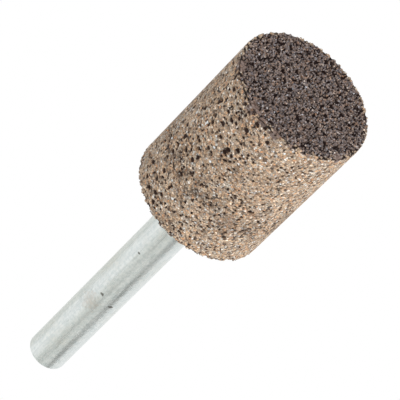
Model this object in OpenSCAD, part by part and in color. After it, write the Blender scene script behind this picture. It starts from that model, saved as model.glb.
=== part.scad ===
// Cylindrical mounted point: an abrasive cylinder cemented on the end of a steel shank.
// It stands on its grinding face, with the shank pointing up along +Z.

/* [Abrasive head] */
// Diameter of the abrasive cylinder
head_d = 20; // [14:0.5:40]
// Length of the abrasive cylinder
head_l = 25; // [20:0.5:50]
// Round on the rim of the grinding face
front_edge_r = 0.2; // [0.1:0.1:2]
// Round on the rim at the shank's end of the cylinder
back_edge_r = 0.3; // [0.1:0.1:2]
// Abrasive left between the socket and the grinding face
face_wall = 10; // [5:0.5:12]

/* [Open pores of the end faces] */
// Width of the main pores, which the untrued end faces keep open
pore_w = 0.9; // [0.6:0.1:1.1]
// Depth of the main pores
pore_depth = 0.35; // [0.2:0.05:0.5]
// Side of the square of face that holds one main pore
pore_pitch = 1.6; // [1.6:0.1:3]
// Solid land between the pores and the edges of the face
pore_land = 0.4; // [0.2:0.1:1]

/* [Shank] */
// Diameter of the shank, where the collet grips it
shank_d = 6; // [3:0.5:8]
// Length of shank outside the head
shank_out = 42; // [20:1:70]
// Chamfer on both ends of the shank
tip_chamfer = 0.3; // [0.1:0.1:0.4]
// Plain neck between the mouth of the socket and the knurl
neck_l = 3; // [1:0.5:5]
// Plain pilot below the knurl, at the buried end
pilot_l = 1; // [0.8:0.1:1.8]
// Depth of the knurl's grooves
knurl_depth = 0.25; // [0.1:0.05:0.4]
// How far the neck lies below the length that the collet grips
neck_relief = 0.2; // [0.2:0.05:0.3]
// How far the knurl's crests lie below the neck, and the pilot below the knurl's grooves
knurl_relief = 0.1; // [0.05:0.05:0.15]
// Distance between the knurl's grooves, round the shank
knurl_pitch = 0.8; // [0.5:0.05:1.5]

/* [Cement] */
// Thickness of the cement round the shank
cement_gap = 0.3; // [0.1:0.05:0.6]
// Thickness of the cement under the shank's buried end
cement_floor = 0.6; // [0.2:0.1:1]

/* [Hidden] */
$fn = 96;
head_r = head_d / 2;
shank_r = shank_d / 2;
neck_r = shank_r - neck_relief;
knurl_crest_r = neck_r - knurl_relief;
knurl_root_r = knurl_crest_r - knurl_depth;
pilot_r = knurl_root_r - knurl_relief;
socket_r = shank_r + cement_gap;
socket_l = head_l - face_wall;
// Heights along the axis, from the grinding face
shank_foot_z = face_wall + cement_floor;
knurl_foot_z = shank_foot_z + pilot_l;
knurl_top_z = head_l - neck_l;
shank_tip_z = head_l + shank_out;
knurl_teeth = floor(2 * PI * knurl_crest_r / knurl_pitch);
// Turn from one pore to the next, which spreads them evenly and in no rows
pore_turn = 180 * (3 - sqrt(5));
pore_corners = 5;

// What a round of radius r takes off the outer corner of a revolved outline.
// The corner is at the origin, and the outline lies towards -x and +y.
module corner_cut(r) {
    difference() {
        translate([-r, 0]) square([r, r]);
        translate([-r, r]) circle(r);
    }
}

// Half section of the abrasive cylinder, with its two rims rounded
module head_outline() {
    difference() {
        square([head_r, head_l]);
        translate([head_r, 0]) corner_cut(front_edge_r);
        translate([head_r, head_l]) mirror([0, 1]) corner_cut(back_edge_r);
    }
}

// The blind hole that the shank is cemented in
module socket() {
    translate([0, 0, face_wall]) cylinder(h = socket_l, r = socket_r);
}

// One pore, cut as deep as it stands out of the face, with an uneven outline of its own
module pore(k) {
    linear_extrude(height = 2 * pore_depth, center = true)
        polygon([
            for (c = [0 : pore_corners - 1])
                let (r = pore_w / 2 * (0.8 + 0.2 * sin(150 * (c + k))), a = 360 * c / pore_corners)
                    [r * cos(a), r * sin(a)]
        ]);
}

// The main pores of an end face, between two radii and with the same room for each
module open_pores(inner_r, outer_r) {
    for (k = [0 : floor(PI * pow(outer_r / pore_pitch, 2))]) {
        r = pore_pitch * sqrt((k + 0.5) / PI);
        if (r > inner_r + pore_land + pore_w / 2 && r < outer_r - pore_land - pore_w / 2)
            rotate(pore_turn * k) translate([r, 0]) pore(k);
    }
}

// Outline of the knurl: sharp crests with V grooves between them
module knurl_outline() {
    polygon([
        for (k = [0 : 2 * knurl_teeth - 1])
            let (a = 180 * k / knurl_teeth, r = k % 2 == 0 ? knurl_crest_r : knurl_root_r)
                [r * cos(a), r * sin(a)]
    ]);
}

// The whole steel pin: pilot, knurl and neck in the socket, and the length that the collet grips
module shank_solid() {
    translate([0, 0, shank_foot_z])
        cylinder(h = tip_chamfer, r1 = pilot_r - tip_chamfer, r2 = pilot_r);
    translate([0, 0, shank_foot_z + tip_chamfer])
        cylinder(h = pilot_l - tip_chamfer, r = pilot_r);
    translate([0, 0, knurl_foot_z])
        linear_extrude(height = knurl_top_z - knurl_foot_z) knurl_outline();
    translate([0, 0, knurl_top_z])
        cylinder(h = neck_l, r = neck_r);
    translate([0, 0, head_l])
        cylinder(h = shank_out - tip_chamfer, r = shank_r);
    translate([0, 0, shank_tip_z - tip_chamfer])
        cylinder(h = tip_chamfer, r1 = shank_r, r2 = shank_r - tip_chamfer);
}

module abrasive_head() {
    color([0.62, 0.52, 0.44])
        difference() {
            rotate_extrude() head_outline();
            socket();
            open_pores(0, head_r - front_edge_r);
            translate([0, 0, head_l]) open_pores(socket_r, head_r - back_edge_r);
        }
}

module shank() {
    color([0.80, 0.82, 0.81]) shank_solid();
}

module cement() {
    color([0.36, 0.34, 0.32])
        difference() {
            socket();
            shank_solid();
        }
}

abrasive_head();
shank();
cement();
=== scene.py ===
"""Looks of the mounted point: the trued skin and open pores of its head, its plated shank and its cement."""

import math

import bpy
import numpy as np
from mathutils import Matrix, Vector


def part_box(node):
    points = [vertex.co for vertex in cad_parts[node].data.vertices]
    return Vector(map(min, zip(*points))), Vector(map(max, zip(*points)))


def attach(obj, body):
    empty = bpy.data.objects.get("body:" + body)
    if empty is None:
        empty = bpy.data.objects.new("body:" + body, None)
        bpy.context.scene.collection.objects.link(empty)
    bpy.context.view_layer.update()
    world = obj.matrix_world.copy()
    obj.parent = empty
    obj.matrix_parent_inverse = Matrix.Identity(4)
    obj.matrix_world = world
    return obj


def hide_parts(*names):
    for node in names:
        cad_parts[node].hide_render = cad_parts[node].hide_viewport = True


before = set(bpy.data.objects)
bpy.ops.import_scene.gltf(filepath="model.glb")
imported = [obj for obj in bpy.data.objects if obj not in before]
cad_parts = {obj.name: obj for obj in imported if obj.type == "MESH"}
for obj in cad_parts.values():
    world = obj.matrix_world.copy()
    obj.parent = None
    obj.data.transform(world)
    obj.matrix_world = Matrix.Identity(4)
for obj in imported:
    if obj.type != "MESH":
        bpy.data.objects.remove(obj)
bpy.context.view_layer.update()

MM = 0.001
HEAD_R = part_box("abrasive_head")[1].x
HEAD_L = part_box("abrasive_head")[1].z
SOCKET_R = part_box("cement")[1].x
SOCKET_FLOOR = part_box("cement")[0].z
BAKE_MAP = "OFBake"

# The main pores of the end faces, by the same rule as in the solids
PORE_WIDTH = 0.9 * MM
PORE_PITCH = 1.6 * MM
PORE_LAND = 0.4 * MM
PORE_TURN = math.pi * (3 - math.sqrt(5))

# How the blanks are cut up, before they are shaped
SIDE_COLUMNS = 480
SIDE_ROWS = 190
SIDE_START = 0.1 * MM
FACE_COLUMNS = 600
FACE_STEP = 0.1 * MM
RIM_ROUND = 0.25 * MM
RIM_TURNS = (20, 40, 60)
RIM_TUCK = 0.02 * MM
FACE_RIM = HEAD_R - RIM_ROUND
MOUTH_GAP = 0.02 * MM
# Where their hidden corners lie: in from the head's side, and in from its end
LIP_INSET, LIP_DEPTH = 0.3 * MM, 0.25 * MM
BED_INSET, BED_DEPTH = 0.5 * MM, 1.0 * MM
SHOULDER_INSET, SHOULDER_DEPTH = 0.45 * MM, 0.5 * MM
PLATE_INSET, PLATE_DEPTH = 0.6 * MM, 0.95 * MM
# Where an end face's pores give way to the broken rim, in from the head's side, in millimetres
RIM_FROM, RIM_TO = 0.8, 0.1
# How far the grain at the rims stands proud between the breaks, in millimetres
RIM_SWELL = 0.07

# The side's colour map: left edge and width, two strips one above the other, and rows for the hidden inside
SIDE_LEFT, SIDE_WIDTH = 0.005, 0.99
STRIP_FOOT, STRIP_PITCH, STRIP_HEIGHT = 0.005, 0.455, 0.45
INSIDE_FOOT, INSIDE_PITCH = 0.93, 0.008
# The end faces' colour map: middle and reach of the face seen from above, and rows for the hidden plate
FACE_MIDDLE, FACE_REACH = 0.4, 0.39
PLATE_LEFT, PLATE_WIDTH, PLATE_FOOT, PLATE_PITCH = 0.01, 0.98, 0.80, 0.004
# Its strip for the loose grain: tones from left to right, hues from foot to top, and a grain's size there
TONE_STRIP = (0.02, 0.98)
HUE_STRIP = (0.85, 0.98)
SPOT_SIZE = 0.01

# The photograph's camera: it looks up at the grinding face, with the axis on the picture's diagonal
VIEW_TILT = math.radians(40.95)
VIEW_ROLL = math.radians(44.91)
VIEW_DISTANCE = 360.7 * MM
VIEW_SLIDE = (-0.31 * MM, 0.05 * MM)
LENS_MM, SENSOR_MM = 239.9, 36.0

# The stage
FLOOR_LEVEL, FLOOR_SIZE = -0.14 * MM, 0.7
FLOOR_FADE = (60 * MM, 300 * MM)
FLOOR_GREY = (0.86, 0.86, 0.86, 1.0)
CARD_AIM, CARD_HEIGHT = 45 * MM, 2.4
CARD_WHITE = (1.0, 1.0, 0.96, 1.0)
NARROW_CARD, NEAR_CARDS, FAR_CARDS = 40, 0.45, 0.6
SKY_LIGHT, BACKDROP = 0.62, 1.0
LAMP_AIM = Vector((0, 0, 25 * MM))


def tint(red, green, blue):
    """A colour given as 0 to 255 on screen, as Blender's own numbers."""
    def straight(c):
        c /= 255
        return c / 12.92 if c <= 0.04045 else ((c + 0.055) / 1.055) ** 2.4
    return (straight(red), straight(green), straight(blue), 1.0)


# Grain by its tone, from 0 to 1. The brightest tones at the top of each list are partly pale grain and partly
# painted glints
DARK_GRAIN_AND_GLINTS = [
    (0.00, tint(66, 56, 52)), (0.18, tint(102, 90, 85)), (0.48, tint(132, 118, 113)),
    (0.78, tint(160, 147, 142)), (0.88, tint(150, 116, 92)), (0.95, tint(178, 166, 160)),
    (1.00, tint(216, 207, 202)),
]
TAN_GRAIN_AND_GLINTS = [
    (0.00, tint(66, 54, 46)), (0.08, tint(118, 98, 81)), (0.20, tint(163, 141, 117)),
    (0.48, tint(194, 171, 146)), (0.72, tint(215, 194, 169)), (0.83, tint(205, 160, 122)),
    (0.89, tint(172, 158, 144)), (0.95, tint(232, 218, 199)), (1.00, tint(253, 246, 235)),
]
# The warmest and the coolest grain, as multiples of its colour
SIDE_HUES = ((1.12, 0.975, 0.83, 1.0), (0.88, 1.02, 1.19, 1.0))
FACE_HUES = ((1.16, 0.98, 0.79, 1.0), (0.86, 1.01, 1.2, 1.0))

# Other colours of the head: its side, its end faces and the body behind them
# Painted shade: the side's pits and pinholes are coloured this dark for the shade inside them
PAINTED_PIT_SHADE = tint(44, 26, 18)
SIDE_BOND = tint(80, 60, 48)
DIRT = tint(166, 163, 163)
CLUMP = tint(140, 128, 120)
SIDE_WORN = tint(78, 54, 42)
# Painted shade: the end faces' pores are coloured this dark for the shade inside them
PAINTED_PORE_SHADE = tint(30, 11, 7)
FACE_BOND = tint(76, 57, 48)
FACE_WORN = tint(110, 78, 60)
BODY = (tint(38, 32, 30), tint(62, 53, 49))
# Colours of the shank's plating and of the cement
PLATING = (tint(216, 220, 218), tint(236, 240, 238))
YELLOWED = tint(216, 214, 202)
RUBBED = tint(200, 192, 181)
CLOUDED = tint(198, 208, 208)
FLECK = tint(176, 182, 178)
NICK = tint(100, 97, 90)
CEMENT = (tint(98, 92, 86), tint(128, 121, 113))
DAMP_CEMENT = tint(84, 77, 71)

# Marks in the photograph, as places and radii in millimetres.
# Dark grain that the truing left at the grinding face's rim, worn smooth
LEFT_DARK = [((3.4, -9.4, 0.2), 1.5), ((1.4, -9.9, 0.0), 1.0), ((8.6, -5.1, 0.0), 1.6),
             ((-0.9, -9.9, 0.1), 1.1), ((-8.9, -4.5, 0.0), 1.1)]
# Nicks in the shank's plating, and a stain beside them
SHANK_NICKS = [((0.27, -2.99, 48.0), 0.34), ((-1.85, -2.36, 49.3), 0.38), ((0.69, -2.92, 37.6), 0.24)]
SHANK_STAIN = [((0.72, -2.91, 50.6), 2.1)]
# The dirty band round the side: its height, and how far from there the dirt thins out
DIRT_BAND = 16.8 * MM
DIRT_FADE = (0.6 * MM, 3.2 * MM)


class Wiring:
    """Adds nodes to one tree and joins them."""

    def __init__(self, tree):
        self.tree = tree

    def add(self, kind, inputs=None, **settings):
        """A new node, with its settings made and its inputs fed."""
        node = self.tree.nodes.new(kind)
        for name, value in settings.items():
            setattr(node, name, value)
        for key, value in (inputs or {}).items():
            self.feed(node.inputs[key], value)
        return node

    def first(self, kind, inputs=None, **settings):
        """The first output of a new node."""
        return self.add(kind, inputs, **settings).outputs[0]

    def feed(self, socket, value):
        """Links an output to an input, or gives the input a plain value."""
        if isinstance(value, bpy.types.NodeSocket):
            self.tree.links.new(value, socket)
        else:
            socket.default_value = value

    def math(self, operation, a, b=0.0):
        return self.first("ShaderNodeMath", {0: a, 1: b}, operation=operation)

    def plus(self, a, b):
        return self.math("ADD", a, b)

    def minus(self, a, b):
        return self.math("SUBTRACT", a, b)

    def times(self, a, b):
        return self.math("MULTIPLY", a, b)

    def over(self, a, b):
        return self.math("DIVIDE", a, b)

    def most(self, a, b):
        return self.math("MAXIMUM", a, b)

    def vector(self, operation, a, b=None, scale=None):
        inputs = {0: a}
        if b is not None:
            inputs[1] = b
        if scale is not None:
            inputs["Scale"] = scale
        return self.first("ShaderNodeVectorMath", inputs, operation=operation)

    def counted(self, vector, size):
        """The vector, counted in steps of a size."""
        return self.vector("SCALE", vector, scale=self.over(1.0, size))

    def span(self, a, b=(0.0, 0.0, 0.0)):
        """How far apart two places are."""
        return self.add("ShaderNodeVectorMath", {0: a, 1: b}, operation="DISTANCE").outputs["Value"]

    def spread(self, value, low, high, to_low=0.0, to_high=1.0, smooth=True):
        """A value from low to high, turned into one from to_low to to_high."""
        node = self.add("ShaderNodeMapRange", {"Value": value},
                        interpolation_type="SMOOTHSTEP" if smooth else "LINEAR")
        for key, number in zip(("From Min", "From Max", "To Min", "To Max"), (low, high, to_low, to_high)):
            self.feed(node.inputs[key], number)
        return node.outputs["Result"]

    def fade(self, value, low, high):
        """One up to low, and falling to nothing at high."""
        return self.spread(value, low, high, 1.0, 0.0)

    def noise(self, vector, scale, detail=2.0, rough=0.5):
        return self.add("ShaderNodeTexNoise",
                        {"Vector": vector, "Scale": scale, "Detail": detail, "Roughness": rough}).outputs

    def shift(self, vector, scale, amount):
        """The vector, bent out of place by a soft noise."""
        bend = self.vector("SUBTRACT", self.noise(vector, scale, 1.0)["Color"], (0.5, 0.5, 0.5))
        return self.vector("ADD", vector, self.vector("SCALE", bend, scale=amount))

    def cells(self, vector, feature="F1"):
        return self.add("ShaderNodeTexVoronoi", {"Vector": vector, "Scale": 1.0}, feature=feature).outputs

    def axes(self, vector):
        return self.add("ShaderNodeSeparateXYZ", {"Vector": vector}).outputs

    def join_axes(self, x, y, z=0.0):
        return self.first("ShaderNodeCombineXYZ", {"X": x, "Y": y, "Z": z})

    def mix(self, factor, a, b, blend="MIX"):
        """Two colours, mixed."""
        node = self.add("ShaderNodeMix", {0: factor, 6: a, 7: b}, data_type="RGBA", blend_type=blend)
        return node.outputs[2]

    def between(self, factor, a, b):
        """A number between two others."""
        return self.first("ShaderNodeMix", {0: factor, 2: a, 3: b}, data_type="FLOAT")

    def ramp(self, value, stops):
        node = self.add("ShaderNodeValToRGB", {"Fac": value})
        elements = node.color_ramp.elements
        while len(elements) < len(stops):
            elements.new(1.0)
        for element, (place, colour) in zip(elements, stops):
            element.position, element.color = place, colour
        return node.outputs["Color"]

    def bump(self, height, strength, distance):
        return self.first("ShaderNodeBump", {"Height": height, "Strength": strength, "Distance": distance})

    def stored(self, name):
        """A number that a shaping tree left on the mesh, for a finish."""
        return self.add("ShaderNodeAttribute", attribute_name=name).outputs["Fac"]

    def group(self, tree, **values):
        kind = "GeometryNodeGroup" if tree.bl_idname == "GeometryNodeTree" else "ShaderNodeGroup"
        return self.add(kind, {name.replace("_", " "): value for name, value in values.items()},
                        node_tree=tree).outputs

    def random(self, low, high, seed):
        """A random number for each point."""
        return self.add("FunctionNodeRandomValue", {2: low, 3: high, "Seed": seed},
                        data_type="FLOAT").outputs[1]

    def random_vector(self, low, high, seed):
        """A random vector for each point."""
        return self.first("FunctionNodeRandomValue", {0: low, 1: high, "Seed": seed},
                          data_type="FLOAT_VECTOR")

    def named(self, name, kind="FLOAT"):
        """What is stored on the mesh under a name, for a shaping tree."""
        return self.first("GeometryNodeInputNamedAttribute", {"Name": name}, data_type=kind)

    def store(self, geometry, name, value, kind="FLOAT", domain="POINT", **only):
        return self.first("GeometryNodeStoreNamedAttribute",
                          {"Geometry": geometry, "Name": name, "Value": value, **only},
                          data_type=kind, domain=domain)

    def dress(self, geometry, material, **only):
        return self.first("GeometryNodeSetMaterial", {"Geometry": geometry, "Material": material, **only})

    def shaded(self, geometry, smooth):
        return self.first("GeometryNodeSetShadeSmooth", {"Geometry": geometry, "Shade Smooth": smooth})

    def moved(self, geometry, offset):
        return self.first("GeometryNodeSetPosition", {"Geometry": geometry, "Offset": offset})

    def place(self):
        """Where a point is."""
        return self.first("GeometryNodeInputPosition")

    def outwards(self, distance):
        """A step along the surface's normal."""
        return self.vector("SCALE", self.first("GeometryNodeInputNormal"), scale=distance)


def numbers(**values):
    """Named numbers with their usual values, as inputs for a node group."""
    return [(name.replace("_", " "), "Float", value) for name, value in values.items()]


def new_group(name, kind, inputs, outputs):
    """A node group with named sockets, and the wiring, group input and group output inside it."""
    tree = bpy.data.node_groups.new(name, kind)
    for title, socket, value in inputs:
        made = tree.interface.new_socket(title, in_out="INPUT", socket_type="NodeSocket" + socket)
        if value is not None:
            made.default_value = value
    for title, socket in outputs:
        tree.interface.new_socket(title, in_out="OUTPUT", socket_type="NodeSocket" + socket)
    wires = Wiring(tree)
    return tree, wires, wires.add("NodeGroupInput").outputs, wires.add("NodeGroupOutput").inputs


def new_material(name):
    """A node material with its wiring, the sockets of its Principled shader and the place on the object."""
    material = bpy.data.materials.new(name)
    material.use_nodes = True
    wires = Wiring(material.node_tree)
    shader = material.node_tree.nodes["Principled BSDF"]
    return material, wires, shader.inputs, wires.add("ShaderNodeTexCoord").outputs["Object"]


# Shader groups that several finishes share

def grain_mosaic():
    """Packed grain cut through by a surface: a random tone and hue for each grain, and the bond between."""
    group, w, inside, out = new_group(
        "grain_mosaic", "ShaderNodeTree",
        [("Vector", "Vector", None), *numbers(Grain_Size=0.3 * MM)],
        [("Tone", "Float"), ("Hue", "Float"), ("Bond", "Float"), ("Crown", "Float")])
    at = w.shift(w.counted(inside["Vector"], inside["Grain Size"]), 1.7, 0.6)
    grain = w.cells(at)
    shade = w.axes(grain["Color"])
    edge = w.cells(at, "DISTANCE_TO_EDGE")["Distance"]
    w.feed(out["Tone"], shade[0])
    w.feed(out["Hue"], shade[1])
    w.feed(out["Bond"], w.fade(edge, 0.01, 0.11))
    w.feed(out["Crown"], w.fade(grain["Distance"], 0.0, 0.8))
    return group


def smudges():
    """Soft uneven patches, such as dust, stain or handling."""
    group, w, inside, out = new_group(
        "smudges", "ShaderNodeTree",
        [("Vector", "Vector", None), *numbers(Patch_Size=3 * MM, Low=0.4, High=0.65)],
        [("Mask", "Float")])
    cloud = w.noise(w.counted(inside["Vector"], inside["Patch Size"]), 1.0, 4.0, 0.6)["Fac"]
    w.feed(out["Mask"], w.spread(cloud, inside["Low"], inside["High"]))
    return group


def specks():
    """Small scattered spots with ragged edges, such as pinholes, flecks or nicks."""
    group, w, inside, out = new_group(
        "specks", "ShaderNodeTree",
        [("Vector", "Vector", None), *numbers(Spacing=0.5 * MM, Reach=0.3, Share=0.5)],
        [("Mask", "Float")])
    spot = w.cells(w.shift(w.counted(inside["Vector"], inside["Spacing"]), 2.6, 0.5))
    lot = w.axes(spot["Color"])
    reach = w.times(inside["Reach"], w.spread(lot[1], 0.0, 1.0, 0.5, 1.3, smooth=False))
    shape = w.fade(w.over(spot["Distance"], reach), 0.6, 1.1)
    w.feed(out["Mask"], w.times(shape, w.math("LESS_THAN", lot[0], inside["Share"])))
    return group


def patch():
    """One mark at a known place, with a ragged edge."""
    group, w, inside, out = new_group(
        "patch", "ShaderNodeTree",
        [("Vector", "Vector", None), ("Centre", "Vector", None),
         *numbers(Radius=1 * MM, Ragged=0.5, Core=0.75)],
        [("Mask", "Float")])
    away = w.over(w.span(inside["Vector"], inside["Centre"]), inside["Radius"])
    ragged = w.minus(w.noise(inside["Vector"], 2.4 / MM)["Fac"], 0.5)
    away = w.plus(away, w.times(ragged, w.times(inside["Ragged"], 4.0)))
    w.feed(out["Mask"], w.fade(away, inside["Core"], 1.05))
    return group


MOSAIC, SMUDGES, SPECKS, PATCH = grain_mosaic(), smudges(), specks(), patch()


# Finishes

def marks(w, place, spots, ragged, core):
    """One mask over several marks, given as places and radii in millimetres."""
    mask = 0.0
    for centre, radius in spots:
        one = w.group(PATCH, Vector=place, Centre=[c * MM for c in centre], Radius=radius * MM,
                      Ragged=ragged, Core=core)["Mask"]
        mask = w.most(mask, one)
    return mask


def hued(w, colour, lot, hues):
    """A grain's colour, made warmer or cooler by a random number of its own."""
    return w.mix(1.0, colour, w.mix(lot, *hues), "MULTIPLY")


def by_grain(w, mask, lot):
    """A soft mask made ragged: each grain falls to one side of its edge by a random number of its own."""
    return w.spread(w.plus(mask, w.times(w.minus(lot, 0.5), 0.8)), 0.4, 0.6)


def trued_skin():
    """The side of the head, trued to size: grain cut flush and pale, with its pores and pits painted dark as
    their shade.
    """
    material, w, shader, place = new_material("trued_skin")
    grain = w.group(MOSAIC, Vector=place, Grain_Size=0.29 * MM)
    colour = hued(w, w.ramp(grain["Tone"], TAN_GRAIN_AND_GLINTS), grain["Hue"], SIDE_HUES)
    colour = w.mix(w.times(grain["Bond"], 0.75), colour, SIDE_BOND)
    from_band = w.math("ABSOLUTE", w.minus(w.axes(place)["Z"], DIRT_BAND))
    dirt = w.group(SMUDGES, Vector=place, Patch_Size=2.4 * MM, Low=0.42, High=0.66)["Mask"]
    dirt = w.times(dirt, w.spread(from_band, *DIRT_FADE, 0.75, 0.2))
    colour = w.mix(dirt, colour, DIRT, "MULTIPLY")
    clump = w.group(SMUDGES, Vector=place, Patch_Size=0.8 * MM, Low=0.53, High=0.66)["Mask"]
    clump = w.times(clump, w.spread(from_band, *DIRT_FADE, 0.95, 0.3))
    colour = w.mix(clump, colour, CLUMP, "MULTIPLY")
    # Painted shade: the pinholes are coloured dark for the shade inside them, and the bump dents them
    pinhole = w.group(SPECKS, Vector=place, Spacing=0.55 * MM, Reach=0.34, Share=0.46)["Mask"]
    colour = w.mix(w.times(pinhole, 0.85), colour, PAINTED_PIT_SHADE)
    left = w.most(marks(w, place, LEFT_DARK, ragged=0.35, core=0.4), w.stored("chip"))
    dark = w.mix(0.5, w.ramp(grain["Tone"], DARK_GRAIN_AND_GLINTS), SIDE_WORN)
    colour = w.mix(by_grain(w, left, grain["Hue"]), colour, dark)
    # Painted shade: the pits and the pores that break the rims are coloured dark for the shade inside them
    colour = w.mix(w.spread(w.stored("pit_shade"), 0.1, 0.7), colour, PAINTED_PIT_SHADE)
    w.feed(shader["Base Color"], colour)
    w.feed(shader["Roughness"], w.spread(grain["Hue"], 0.85, 0.95, 0.9, 0.5))
    height = w.minus(grain["Crown"], w.plus(w.times(grain["Bond"], 0.5), pinhole))
    w.feed(shader["Normal"], w.bump(height, 0.7, 0.06 * MM))
    return material


def open_body():
    """The dark moulded body behind the skin, which only shows in the socket."""
    material, w, shader, place = new_material("open_body")
    grain = w.group(MOSAIC, Vector=place, Grain_Size=0.35 * MM)
    w.feed(shader["Base Color"], w.mix(grain["Tone"], *BODY))
    w.feed(shader["Roughness"], w.spread(grain["Hue"], 0.0, 1.0, 0.8, 1.0))
    w.feed(shader["Normal"], w.bump(grain["Crown"], 0.8, 0.08 * MM))
    return material


def moulded_ridges():
    """The open end faces as they were moulded: dark ridges of grain, and the pores between painted black as
    their shade.
    """
    material, w, shader, place = new_material("moulded_ridges")
    grain = w.group(MOSAIC, Vector=place, Grain_Size=0.23 * MM)
    dark = w.ramp(grain["Tone"], DARK_GRAIN_AND_GLINTS)
    colour = hued(w, dark, grain["Hue"], FACE_HUES)
    colour = w.mix(w.times(grain["Bond"], 0.4), colour, FACE_BOND)
    wrap = by_grain(w, w.stored("wrap"), grain["Hue"])
    colour = w.mix(wrap, colour, w.ramp(grain["Tone"], TAN_GRAIN_AND_GLINTS))
    worn = by_grain(w, w.stored("worn"), grain["Hue"])
    colour = w.mix(worn, colour, w.mix(0.4, dark, FACE_WORN))
    # Painted shade: where the face sinks into a pore it is coloured near black
    colour = w.mix(w.spread(w.stored("rise"), 0.35, 0.9), PAINTED_PORE_SHADE, colour)
    w.feed(shader["Base Color"], colour)
    w.feed(shader["Roughness"], w.spread(grain["Hue"], 0.0, 1.0, 0.6, 0.95))
    w.feed(shader["Normal"], w.bump(grain["Crown"], 0.8, 0.06 * MM))
    return material


def sharp_grit():
    """Single grains on the ridges of the end faces, each in a tone and hue that its colour map gives."""
    material, w, shader, _ = new_material("sharp_grit")
    palette = w.axes(w.add("ShaderNodeUVMap", uv_map=BAKE_MAP).outputs["UV"])
    colour = w.ramp(w.spread(palette["X"], *TONE_STRIP, smooth=False), DARK_GRAIN_AND_GLINTS)
    hue = w.spread(palette["Y"], *HUE_STRIP, smooth=False)
    w.feed(shader["Base Color"], hued(w, colour, hue, FACE_HUES))
    w.feed(shader["Roughness"], w.spread(hue, 0.0, 1.0, 0.4, 0.85, smooth=False))
    return material


def plated_steel():
    """Drawn steel with a dull bright plating: streaks along it, a fine grain, flecks, a stain and nicks."""
    material, w, shader, place = new_material("plated_steel")
    drawn = w.add("ShaderNodeMapping", {"Vector": place, "Scale": (1.0, 1.0, 0.05)}).outputs["Vector"]
    short = w.add("ShaderNodeMapping", {"Vector": place, "Scale": (1.0, 1.0, 0.25)}).outputs["Vector"]
    streak = w.noise(drawn, 2.4 / MM, 3.0, 0.6)["Fac"]
    stain = w.group(SMUDGES, Vector=place, Patch_Size=5 * MM, Low=0.42, High=0.72)["Mask"]
    cloud = w.group(SMUDGES, Vector=place, Patch_Size=0.5 * MM, Low=0.35, High=0.7)["Mask"]
    fleck = w.group(SPECKS, Vector=short, Spacing=0.55 * MM, Reach=0.34, Share=0.3)["Mask"]
    rub = w.times(marks(w, place, SHANK_STAIN, ragged=0.5, core=0.1), w.spread(cloud, 0.0, 1.0, 0.6, 1.0))
    nick = marks(w, place, SHANK_NICKS, ragged=0.5, core=0.5)
    colour = w.mix(w.spread(streak, 0.3, 0.7), *PLATING)
    colour = w.mix(w.times(stain, 0.4), colour, YELLOWED)
    colour = w.mix(rub, colour, RUBBED)
    colour = w.mix(w.times(cloud, 0.65), colour, CLOUDED)
    colour = w.mix(w.times(fleck, 0.35), colour, FLECK)
    colour = w.mix(w.times(nick, 0.85), colour, NICK)
    w.feed(shader["Base Color"], colour)
    w.feed(shader["Metallic"], 1.0)
    w.feed(shader["Roughness"], w.spread(streak, 0.3, 0.7, 0.26, 0.36))
    height = w.minus(streak, w.times(fleck, 0.4))
    height = w.plus(height, w.times(w.noise(place, 2.6 / MM, 1.0)["Fac"], 3.0))
    w.feed(shader["Normal"], w.bump(height, 0.38, 0.03 * MM))
    return material


def set_cement():
    """Matt grey-brown cement, with fine sand in it."""
    material, w, shader, place = new_material("set_cement")
    sand = w.group(MOSAIC, Vector=place, Grain_Size=0.12 * MM)
    damp = w.group(SMUDGES, Vector=place, Patch_Size=1.5 * MM, Low=0.4, High=0.7)["Mask"]
    w.feed(shader["Base Color"], w.mix(w.times(damp, 0.5), w.mix(sand["Tone"], *CEMENT), DAMP_CEMENT))
    w.feed(shader["Roughness"], w.spread(sand["Hue"], 0.0, 1.0, 0.75, 0.95))
    w.feed(shader["Normal"], w.bump(sand["Crown"], 0.5, 0.03 * MM))
    return material


# Shaping trees. Their lengths are in millimetres, apart from those of the loose grain, which are in metres

def pore_field():
    """The small open pores between the grains, the same wherever it is read on the head."""
    tree, w, inside, out = new_group(
        "pore_field", "GeometryNodeTree",
        [("Place", "Vector", None), *numbers(Pore_Spacing=0.28, Pore_Share=0.48)],
        [("Pore", "Float")])
    solid = w.noise(w.counted(inside["Place"], inside["Pore Spacing"]), 1.0, 1.0, 0.4)["Fac"]
    w.feed(out["Pore"], w.fade(w.minus(solid, inside["Pore Share"]), -0.05, 0.03))
    return tree


def skin_edge():
    """How far from a rim the pale skin ends: along the side if above zero, along the end face if below."""
    tree, w, inside, out = new_group(
        "skin_edge", "GeometryNodeTree",
        [("Place", "Vector", None), *numbers(Patch_Size=1.3, On_Side=9.0, On_Face=3.0)],
        [("Edge", "Float")])
    cloud = w.noise(w.counted(inside["Place"], inside["Patch Size"]), 1.0, 3.0, 0.6)["Fac"]
    uneven = w.minus(cloud, 0.51)
    w.feed(out["Edge"], w.most(w.times(uneven, inside["On Side"]), w.times(uneven, inside["On Face"])))
    return tree


PORES, SKIN_EDGE = pore_field(), skin_edge()


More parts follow.
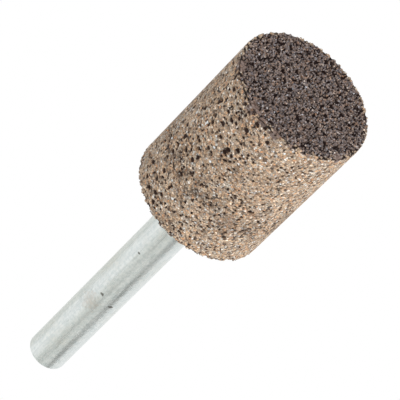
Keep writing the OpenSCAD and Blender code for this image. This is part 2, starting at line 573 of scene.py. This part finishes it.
def broken_rim():
    """How a rim is broken: by large pores that meet it, and by grain that has crumbled from its edge."""
    tree, w, inside, out = new_group(
        "broken_rim", "GeometryNodeTree",
        [("Place", "Vector", None),
         *numbers(Pore_Spacing=0.6, Pore_Share=0.5, Pore_Depth=0.3, Crumb_Size=0.32, Crumb_Depth=0.16)],
        [("Pore", "Float"), ("Crumb", "Float"), ("Depth", "Float")])
    pore = w.group(PORES, Place=inside["Place"], Pore_Spacing=inside["Pore Spacing"],
                   Pore_Share=inside["Pore Share"])["Pore"]
    crumb = w.noise(w.counted(inside["Place"], inside["Crumb Size"]), 1.0, 1.0)["Fac"]
    crumb = w.spread(crumb, 0.43, 0.6)
    w.feed(out["Pore"], pore)
    w.feed(out["Crumb"], crumb)
    w.feed(out["Depth"], w.most(w.times(pore, inside["Pore Depth"]), w.times(crumb, inside["Crumb Depth"])))
    return tree


BROKEN_RIM = broken_rim()


def skin_tree():
    """Opens pits in the trued side of a blank, gives it a slight relief and breaks its rims."""
    tree, w, inside, out = new_group(
        "skin_shaping", "GeometryNodeTree",
        [("Blank", "Geometry", None),
         *numbers(Pit_Spacing=0.97, Pit_Radius=0.36, Pit_Depth=0.5,
                  Small_Spacing=0.55, Small_Radius=0.18, Small_Depth=0.25,
                  Lean_Sideways=0.7, Lean_Back=0.2, Band_Height=DIRT_BAND / MM, Relief=0.03,
                  Break_Reach=0.6, Chip_Depth=0.1, Radius=10.0, Length=25.0),
         ("Skin", "Material", None), ("Body", "Material", None)],
        [("Shaped", "Geometry")])
    at = w.vector("SCALE", w.place(), scale=1 / MM)
    side = w.named("mark")
    x, _, z = w.axes(at)

    # Large pits crowd on one side and near the grinding face, small ones in a band further back
    cloud = w.noise(at, 0.2)["Fac"]
    lean = w.minus(w.times(w.over(x, inside["Radius"]), inside["Lean Sideways"]),
                   w.times(w.over(z, inside["Length"]), inside["Lean Back"]))
    large = w.spread(w.plus(cloud, lean), 0.42, 0.76, 0.03, 0.92)
    band = w.math("ABSOLUTE", w.minus(z, inside["Band Height"]))
    small = w.spread(w.plus(cloud, w.spread(band, 0.6, 3.0, 0.2, 0.0)), 0.4, 0.68, 0.3, 0.95)
    bent = w.shift(at, 1.9, 0.2)
    pit_shade, depth = 0.0, 0.0
    for size, crowd in (("Pit", large), ("Small", small)):
        spacing = inside[size + " Spacing"]
        void = w.cells(w.counted(bent, spacing))
        lot = w.axes(void["Color"])
        radius = w.times(inside[size + " Radius"], w.spread(lot[1], 0.0, 1.0, 0.6, 1.3, smooth=False))
        away = w.over(w.times(void["Distance"], spacing), radius)
        hole = w.times(w.fade(away, 0.55, 1.1), w.math("LESS_THAN", lot[0], crowd))
        deep = w.times(inside[size + " Depth"], w.spread(lot[2], 0.0, 1.0, 0.5, 1.2))
        pit_shade = w.most(pit_shade, hole)
        depth = w.most(depth, w.times(hole, deep))

    # At the rims the grain stands a little proud between the breaks
    from_end = w.math("MINIMUM", z, w.minus(inside["Length"], z))
    by_rim = w.fade(from_end, 0.0, inside["Break Reach"])
    edge = w.group(BROKEN_RIM, Place=at)
    broken = w.times(edge["Pore"], by_rim)
    depth = w.most(depth, w.times(edge["Depth"], by_rim))
    lump = w.times(w.minus(w.noise(at, 2.8)["Fac"], 0.5), inside["Relief"])
    lump = w.plus(lump, w.times(by_rim, RIM_SWELL))
    # Where the trued skin has flaked off at the grinding face's rim
    chip = w.fade(w.minus(z, w.group(SKIN_EDGE, Place=at)["Edge"]), -0.4, 0.6)
    depth = w.most(depth, w.times(chip, inside["Chip Depth"]))

    # The pits and the rim's pores are stored as the mask of the skin's painted shade
    marked = w.store(inside["Blank"], "pit_shade", w.times(w.most(pit_shade, broken), side))
    marked = w.store(marked, "chip", w.times(chip, side))
    rise = w.times(w.minus(lump, depth), side)
    moved = w.shaded(w.moved(marked, w.outwards(w.times(rise, MM))), smooth=True)
    whole = w.first("GeometryNodeRealizeInstances", {"Geometry": moved})
    on_skin = w.math("GREATER_THAN", w.named("mark"), 0.9)
    w.feed(out["Shaped"], w.dress(w.dress(whole, inside["Body"]), inside["Skin"], Selection=on_skin))
    return tree


def grain_shapes(w, kinds, corners, seed):
    """Angular grains about one unit in radius, as instances to pick from."""
    shapes = w.add("GeometryNodeJoinGeometry")
    for kind in range(kinds):
        corner = w.vector("NORMALIZE", w.random_vector((-1, -1, -1), (1, 1, 1), seed + kind))
        cloud = w.first("GeometryNodePoints", {"Count": corners, "Position": corner})
        hull = w.shaded(w.first("GeometryNodeConvexHull", {"Geometry": cloud}), smooth=False)
        spot = w.vector("SCALE", w.place(), scale=SPOT_SIZE)
        marked = w.store(hull, "spot", spot, "FLOAT_VECTOR")
        w.feed(shapes.inputs[0], w.first("GeometryNodeGeometryToInstance", {0: marked}))
    return shapes.outputs[0]


def face_tree():
    """Opens the pores of an end face, and sets single grains on the ridges between them."""
    tree, w, inside, out = new_group(
        "open_face", "GeometryNodeTree",
        [("Blank", "Geometry", None), ("Main Count", "Int", 1), ("Seed", "Int", 3),
         *numbers(Height=0.0, Inner_Radius=0.0, Outer_Radius=10.0, Rim_Start=9.0, Rim=10.0,
                  Main_Pitch=PORE_PITCH / MM, Main_Reach=0.36, Pore_Depth=0.45, Lumps=0.16, Filled=0.7,
                  Hole_Spacing=0.37, Hole_Radius=0.145,
                  Grain_Radius=0.14 * MM, Grain_Spacing=0.235 * MM, Grain_Sink=0.07 * MM),
         ("Ridges", "Material", None), ("Grit", "Material", None)],
        [("Face", "Geometry")])
    at = w.vector("SCALE", w.place(), scale=1 / MM)
    top = w.named("mark")

    # The main pores, with their outlines bent out of round
    number = w.first("GeometryNodeInputIndex")
    ring = w.times(inside["Main Pitch"], w.math("SQRT", w.over(w.plus(number, 0.5), math.pi)))
    turn = w.times(number, PORE_TURN)
    spot = w.join_axes(w.times(ring, w.math("COSINE", turn)), w.times(ring, w.math("SINE", turn)),
                       inside["Height"])
    spots = w.first("GeometryNodePoints", {"Count": inside["Main Count"], "Position": spot})
    off = w.span(w.place(), w.join_axes(0.0, 0.0, inside["Height"]))
    off = w.most(w.math("LESS_THAN", off, inside["Inner Radius"]),
                 w.math("GREATER_THAN", off, inside["Outer Radius"]))
    spots = w.first("GeometryNodeDeleteGeometry", {"Geometry": spots, "Selection": off}, domain="POINT")
    near = w.add("GeometryNodeProximity", {0: spots, "Sample Position": w.shift(at, 2.2, 0.9)},
                 target_element="POINTS").outputs["Distance"]
    main = w.fade(w.over(near, inside["Main Reach"]), 0.65, 1.1)

    # The holes and small pores between them, and the lumps of the ridges
    x, y, _ = w.axes(at)
    flat = w.join_axes(x, y)
    radius = w.span(flat)
    hole = w.cells(w.counted(w.shift(flat, 2.4, 0.25), inside["Hole Spacing"]))
    reach = w.times(w.over(inside["Hole Radius"], inside["Hole Spacing"]),
                    w.spread(w.axes(hole["Color"])[1], 0.0, 1.0, 0.5, 1.5, smooth=False))
    fine = w.fade(w.over(hole["Distance"], reach), 0.6, 1.15)
    pore = w.most(w.most(main, fine), w.group(PORES, Place=at)["Pore"])
    lump = w.times(w.spread(w.noise(at, 4.2, 1.0)["Fac"], 0.3, 0.7), inside["Lumps"])
    drop = w.plus(w.times(pore, inside["Pore Depth"]), lump)
    # Towards the rim the breaks of the side's edge take over, so that the two meet
    rim = w.spread(radius, inside["Rim Start"], inside["Rim"])
    edge = w.group(BROKEN_RIM, Place=at)
    pore = w.between(rim, pore, w.most(w.times(edge["Pore"], 0.7), w.times(edge["Crumb"], 0.3)))
    drop = w.between(rim, drop, w.minus(edge["Depth"], RIM_SWELL))
    # Worn places are rubbed full
    bent = w.shift(at, 1.1, 0.9)
    worn = 0.0
    for centre, size in LEFT_DARK:
        worn = w.most(worn, w.fade(w.over(w.span(bent, centre), size), 0.5, 1.0))
    unfilled = w.minus(1.0, w.times(worn, inside["Filled"]))
    drop = w.times(w.times(drop, unfilled), top)
    # Rise is one on the ridges and nothing in the pores, where the finish paints shade
    rise = w.times(w.minus(1.0, w.times(pore, unfilled)), top)
    # The pale skin of the side comes round the rim, and ends in an uneven line
    beyond = w.minus(w.minus(radius, inside["Rim"]), w.group(SKIN_EDGE, Place=at)["Edge"])
    plate = inside["Blank"]
    for name, value in (("rise", rise), ("wrap", w.spread(beyond, -0.6, 0.2)), ("worn", worn)):
        plate = w.store(plate, name, value)
    plate = w.shaded(w.moved(plate, w.outwards(w.times(drop, -MM))), smooth=True)

    # Loose grain on the ridges that are neither wrapped in skin nor worn
    bare = w.minus(w.named("rise"), w.most(w.named("wrap"), w.named("worn")))
    strewn = w.add("GeometryNodeDistributePointsOnFaces",
                   {"Mesh": plate, "Distance Min": inside["Grain Spacing"], "Density Max": 9e7,
                    "Density Factor": w.math("GREATER_THAN", bare, 0.6), "Seed": inside["Seed"]},
                   distribute_method="POISSON").outputs
    sink = w.times(inside["Grain Sink"], w.random(-1.0, -0.3, seed=11))
    settled = w.moved(strewn["Points"], w.vector("SCALE", strewn["Normal"], scale=sink))
    size = w.times(w.random(0.7, 1.25, seed=22), inside["Grain Radius"])
    shapes = grain_shapes(w, kinds=6, corners=12, seed=40)
    turned = w.random_vector((0, 0, 0), (math.tau,) * 3, seed=21)
    stretch = w.random_vector((0.8, 0.8, 0.65), (1.2, 1.2, 1.0), seed=23)
    grains = w.first("GeometryNodeInstanceOnPoints",
                     {"Points": settled, "Instance": shapes, "Pick Instance": True,
                      "Rotation": turned, "Scale": w.vector("SCALE", stretch, scale=size)})
    grains = w.store(grains, "tone", w.random(0.001, 1.0, seed=31), domain="INSTANCE")
    grains = w.store(grains, "hue", w.random(0.0, 1.0, seed=32), domain="INSTANCE")

    both = w.add("GeometryNodeJoinGeometry")
    for part in (plate, grains):
        w.feed(both.inputs[0], part)
    whole = w.first("GeometryNodeRealizeInstances", {"Geometry": both.outputs[0]})
    # Only grains have a tone above zero, and their colour map shows a spot of their tone and hue
    is_grain = w.math("GREATER_THAN", w.named("tone"), 0.0)
    chart = w.join_axes(w.spread(w.named("tone"), 0.0, 1.0, *TONE_STRIP, smooth=False),
                        w.spread(w.named("hue"), 0.0, 1.0, *HUE_STRIP, smooth=False))
    chart = w.vector("ADD", chart, w.named("spot", "FLOAT_VECTOR"))
    mapped = w.store(whole, BAKE_MAP, chart, "FLOAT2", "CORNER", Selection=is_grain)
    w.feed(out["Face"], w.dress(w.dress(mapped, inside["Ridges"]), inside["Grit"], Selection=is_grain))
    return tree


def shaped(name, mesh, tree, values):
    """A plain mesh object: what a shaping tree makes of a blank."""
    piece = bpy.data.objects.new(name, mesh)
    bpy.context.scene.collection.objects.link(piece)
    step = piece.modifiers.new("shaping", "NODES")
    step.node_group = tree
    for item in tree.interface.items_tree:
        if item.in_out == "INPUT" and item.name in values:
            step[item.identifier] = values[item.name]
    graph = bpy.context.evaluated_depsgraph_get()
    done = bpy.data.meshes.new_from_object(piece.evaluated_get(graph))
    piece.modifiers.remove(step)
    piece.data = done
    done.name = name
    bpy.data.meshes.remove(mesh)
    return piece


# Blanks

def revolved(name, columns, outline, chart, ends=()):
    """A closed mesh turned from rows of (radius, height, mark).

    The rows run outwards, up and back in. Where ends gives two heights, the first and last row are closed
    to points on the axis, and otherwise the last row joins the first. chart(band, row, column, right) gives
    the colour map's place for a corner of a face.
    """
    rows = len(outline)
    column = np.arange(columns)
    after = (column + 1) % columns
    turn = column * (math.tau / columns)
    points = [np.stack([r * np.cos(turn), r * np.sin(turn), np.full(columns, z)], 1) for r, z, _ in outline]
    points += [np.array([[0, 0, z]]) for z in ends]
    faces, charts = [], []
    for low in range(rows - 1 if ends else rows):
        high = (low + 1) % rows
        faces += np.stack([low * columns + column, low * columns + after,
                           high * columns + after, high * columns + column], 1).tolist()
        corners = [chart(low, row, column, right) for row, right in
                   ((low, 0), (low, 1), (low + 1, 1), (low + 1, 0))]
        charts.append(np.stack(corners, 1).reshape(-1, 2))
    for k, row in enumerate((0, rows - 1)[:len(ends)]):
        ring = (row * columns + after, row * columns + column)
        sides = (1, 0)
        if k:
            ring, sides = ring[::-1], sides[::-1]
        pole = np.full(columns, rows * columns + k)
        faces += np.stack([pole, *ring], 1).tolist()
        beyond = (-1, rows)[k]
        corners = [chart(beyond, beyond, column, 0)] + [chart(beyond, row, column, right) for right in sides]
        charts.append(np.stack(corners, 1).reshape(-1, 2))
    mesh = bpy.data.meshes.new(name)
    mesh.from_pydata(np.concatenate(points).tolist(), [], faces)
    flat = np.concatenate(charts).astype(np.float32)
    mesh.uv_layers.new(name=BAKE_MAP).uv.foreach_set("vector", flat.ravel())
    mark = [np.full(columns, m, np.float32) for _, _, m in outline]
    mark += [np.array([outline[row][2]], np.float32) for row in (0, -1)[:len(ends)]]
    mesh.attributes.new("mark", "FLOAT", "POINT").data.foreach_set("value", np.concatenate(mark))
    mesh.update()
    return mesh


def rim_drop(gap):
    """How far a rim's round pulls the outline in, at a distance from the corner."""
    return RIM_ROUND - math.sqrt(max(RIM_ROUND**2 - max(RIM_ROUND - gap, 0) ** 2, 0))


def head_blank():
    """The head's side, trued and marked to be shaped, and its hidden inside with the socket."""
    bed, lip = HEAD_R - BED_INSET, HEAD_R - LIP_INSET
    outline = [(bed, BED_DEPTH, 0), (lip, LIP_DEPTH, 0)]
    first = len(outline)
    for row in range(SIDE_ROWS + 1):
        z = SIDE_START + (HEAD_L - 2 * SIDE_START) * row / SIDE_ROWS
        outline.append((HEAD_R - rim_drop(min(z, HEAD_L - z)), z, 1))
    last = len(outline) - 1
    outline += [(lip, HEAD_L - LIP_DEPTH, 0), (bed, HEAD_L - BED_DEPTH, 0),
                (SOCKET_R, HEAD_L - BED_DEPTH, 0), (SOCKET_R, SOCKET_FLOOR, 0)]
    half = SIDE_COLUMNS // 2

    def chart(band, row, column, right):
        u = SIDE_LEFT + SIDE_WIDTH * (column % half + right) / half
        if first <= band < last:
            v = STRIP_FOOT + STRIP_PITCH * (column // half) + STRIP_HEIGHT * (row - first) / SIDE_ROWS
        else:
            place = row if row < last else row - last + first
            v = np.full(SIDE_COLUMNS, INSIDE_FOOT + INSIDE_PITCH * place)
        return np.stack([u, v], 1)

    return revolved("head_blank", SIDE_COLUMNS, outline, chart, (BED_DEPTH, SOCKET_FLOOR))


def face_rows(inner):
    """Radius and drop of the rows across an end face, from its inner edge to round its rim."""
    rows = [(r, 0.0) for r in np.linspace(inner, FACE_RIM, round((FACE_RIM - inner) / FACE_STEP) + 1)]
    for turn in np.radians(RIM_TURNS):
        rows.append((FACE_RIM + (RIM_ROUND - RIM_TUCK) * math.sin(turn), RIM_ROUND * (1 - math.cos(turn))))
    return rows


def face_chart(outline, last):
    """The colour map of an end face: its shaped rows seen from above, and the hidden rows in a strip."""
    def chart(band, row, column, right):
        if band < last:
            reach = FACE_REACH * (outline[row][0] / HEAD_R if row >= 0 else 0.0)
            turn = (column + right) * (math.tau / FACE_COLUMNS)
            return np.stack([FACE_MIDDLE + reach * np.cos(turn), FACE_MIDDLE + reach * np.sin(turn)], 1)
        hidden = np.full(FACE_COLUMNS, PLATE_FOOT + PLATE_PITCH * (row - last))
        return np.stack([PLATE_LEFT + PLATE_WIDTH * (column + right) / FACE_COLUMNS, hidden], 1)

    return chart


def grinding_blank():
    """A plate with the whole grinding face on it, which reaches a little way into the head."""
    outline = [(r, drop, 1) for r, drop in face_rows(FACE_STEP)]
    last = len(outline) - 1
    outline += [(HEAD_R - SHOULDER_INSET, SHOULDER_DEPTH, 0), (HEAD_R - PLATE_INSET, PLATE_DEPTH, 0),
                (FACE_STEP, PLATE_DEPTH, 0)]
    return revolved("grinding_blank", FACE_COLUMNS, outline, face_chart(outline, last), (0.0, PLATE_DEPTH))


def back_blank():
    """A ring with the back face on it, from the head's rim to the mouth of the socket."""
    inner = SOCKET_R + MOUTH_GAP
    outline = [(r, HEAD_L - drop, 1) for r, drop in face_rows(inner)[::-1]]
    last = len(outline) - 1
    outline += [(inner, HEAD_L - PLATE_DEPTH, 0), (HEAD_R - PLATE_INSET, HEAD_L - PLATE_DEPTH, 0),
                (HEAD_R - SHOULDER_INSET, HEAD_L - SHOULDER_DEPTH, 0)]
    return revolved("back_blank", FACE_COLUMNS, outline, face_chart(outline, last))


# The head

def end_face(name, blank, height, inner):
    """One open end face, whose main pores lie where those of the solids do."""
    margin = PORE_LAND + PORE_WIDTH / 2
    return shaped(name, blank, OPEN_FACE, {
        "Height": height / MM, "Inner Radius": (inner + margin) / MM,
        "Outer Radius": (HEAD_R - RIM_ROUND - margin) / MM,
        "Rim Start": HEAD_R / MM - RIM_FROM, "Rim": HEAD_R / MM - RIM_TO,
        "Main Count": 1 + math.floor(math.pi * (HEAD_R / PORE_PITCH) ** 2),
        "Ridges": ridges, "Grit": grit})


OPEN_FACE = face_tree()
ridges, grit = moulded_ridges(), sharp_grit()
head = shaped("trued_head", head_blank(), skin_tree(), {
    "Radius": HEAD_R / MM, "Length": HEAD_L / MM, "Skin": trued_skin(), "Body": open_body()})
grinding_face = end_face("grinding_face", grinding_blank(), 0.0, 0.0)
back_face = end_face("back_face", back_blank(), HEAD_L, SOCKET_R)
for piece in (head, grinding_face, back_face):
    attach(piece, "root")
    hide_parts("abrasive_head")

# The shank and the cement are the solids themselves
for node, finish in (("shank", plated_steel()), ("cement", set_cement())):
    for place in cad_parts[node].material_slots:
        place.material = finish


# The stage

def panel(name, centre, face_to, width, height):
    """A flat rectangle standing at centre and facing a point."""
    turn = (Vector(face_to) - Vector(centre)).to_track_quat("Z", "Y").to_matrix().to_4x4()
    corners = [(-width / 2, -height / 2, 0), (width / 2, -height / 2, 0),
               (width / 2, height / 2, 0), (-width / 2, height / 2, 0)]
    mesh = bpy.data.meshes.new(name)
    mesh.from_pydata(corners, [], [(0, 1, 2, 3)])
    mesh.transform(Matrix.Translation(Vector(centre)) @ turn)
    thing = bpy.data.objects.new(name, mesh)
    bpy.context.scene.collection.objects.link(thing)
    return thing


def bare_material(name):
    """A material with an empty tree, for the stage."""
    material = bpy.data.materials.new(name)
    material.use_nodes = True
    material.node_tree.nodes.clear()
    return material, Wiring(material.node_tree)


def floor_finish():
    """Pale from above, and fading into the white behind. Only the camera meets it, and not from below."""
    material, w = bare_material("pale_floor")
    seen = w.add("ShaderNodeLightPath").outputs["Is Camera Ray"]
    under = w.add("ShaderNodeNewGeometry").outputs["Backfacing"]
    near = w.fade(w.span(w.add("ShaderNodeTexCoord").outputs["Object"]), *FLOOR_FADE)
    shown = w.times(w.times(seen, near), w.minus(1.0, under))
    pale = w.first("ShaderNodeBsdfDiffuse", {"Color": FLOOR_GREY})
    clear = w.first("ShaderNodeBsdfTransparent")
    both = w.first("ShaderNodeMixShader", {0: shown, 1: clear, 2: pale})
    w.add("ShaderNodeOutputMaterial", {"Surface": both})
    return material


def grey_card(name, centre, width, brightness):
    """A card that the plating mirrors, which neither the camera nor the light meets."""
    card = panel(name, centre, (0, 0, CARD_AIM), width, CARD_HEIGHT)
    material, w = bare_material(name)
    glow = w.first("ShaderNodeEmission", {"Color": CARD_WHITE, "Strength": brightness})
    w.add("ShaderNodeOutputMaterial", {"Surface": glow})
    card.data.materials.append(material)
    card.visible_camera = card.visible_diffuse = card.visible_shadow = False
    card.visible_transmission = card.visible_volume_scatter = False


def studio_world():
    """White to the camera and to mirrors, and a softer light on everything else."""
    world = bpy.data.worlds.new("studio")
    world.use_nodes = True
    world.node_tree.nodes.clear()
    w = Wiring(world.node_tree)
    path = w.add("ShaderNodeLightPath").outputs
    shown = w.most(path["Is Camera Ray"], w.most(path["Is Glossy Ray"], path["Is Transmission Ray"]))
    soft, white = (w.first("ShaderNodeBackground", {"Color": (1, 1, 1, 1), "Strength": strength})
                   for strength in (SKY_LIGHT, BACKDROP))
    w.add("ShaderNodeOutputWorld", {"Surface": w.first("ShaderNodeMixShader", {0: shown, 1: soft, 2: white})})
    return world


def soft_lamp(name, place, size, power):
    """A square lamp that shines on the head, and that neither the camera nor a mirror shows."""
    lamp = bpy.data.lights.new(name, "AREA")
    lamp.size, lamp.energy = size, power
    thing = bpy.data.objects.new(name, lamp)
    thing.location = place
    thing.rotation_euler = (LAMP_AIM - Vector(place)).to_track_quat("-Z", "Y").to_euler()
    thing.visible_camera = thing.visible_glossy = False
    bpy.context.scene.collection.objects.link(thing)


floor = panel("floor", (0, 0, FLOOR_LEVEL), (0, 0, 1), FLOOR_SIZE, FLOOR_SIZE)
floor.data.materials.append(floor_finish())

# The cards round the shank: turn in degrees from the camera's side towards -X, angle filled, brightness
for name, turn, fill, brightness in (("left_card", -122, 56, 0.82), ("wide_card", 8, 74, 0.84),
                                     ("line_card", 9, 13, 0.54), ("dark_card", 64, 30, 0.41)):
    distance = NEAR_CARDS if fill < NARROW_CARD else FAR_CARDS
    turn = math.radians(turn)
    centre = (-math.sin(turn) * distance, -math.cos(turn) * distance, CARD_AIM)
    grey_card(name, centre, 2 * distance * math.tan(math.radians(fill / 2)), brightness)

bpy.context.scene.world = studio_world()

for name, place, size, power in (("key", (-0.45, -0.02, 0.10), 0.4, 2.15),
                                 ("fill", (0.05, -0.39, -0.30), 0.3, 1.5),
                                 ("top", (0.12, 0.25, 0.70), 0.4, 1.8)):
    soft_lamp(name, place, size, power)

# The axis runs along, and the camera is rolled until it lies on the picture's diagonal
along = Vector((0, math.sin(VIEW_TILT), -math.cos(VIEW_TILT)))
across = Vector((-1, 0, 0))
ahead = Vector((0, math.cos(VIEW_TILT), math.sin(VIEW_TILT)))
right = along * math.cos(VIEW_ROLL) + across * math.sin(VIEW_ROLL)
up = along * math.sin(VIEW_ROLL) - across * math.cos(VIEW_ROLL)
lens = bpy.data.cameras.new("camera")
lens.sensor_width, lens.lens = SENSOR_MM, LENS_MM
lens.clip_start, lens.clip_end = 0.01, 20.0
camera = bpy.data.objects.new("camera", lens)
spot = Vector((0, 0, HEAD_L)) - ahead * VIEW_DISTANCE + along * VIEW_SLIDE[0] + across * VIEW_SLIDE[1]
camera.matrix_world = Matrix.Translation(spot) @ Matrix((right, up, -ahead)).transposed().to_4x4()
bpy.context.scene.collection.objects.link(camera)
bpy.context.scene.camera = camera
bpy.context.scene.view_settings.view_transform = "Standard"
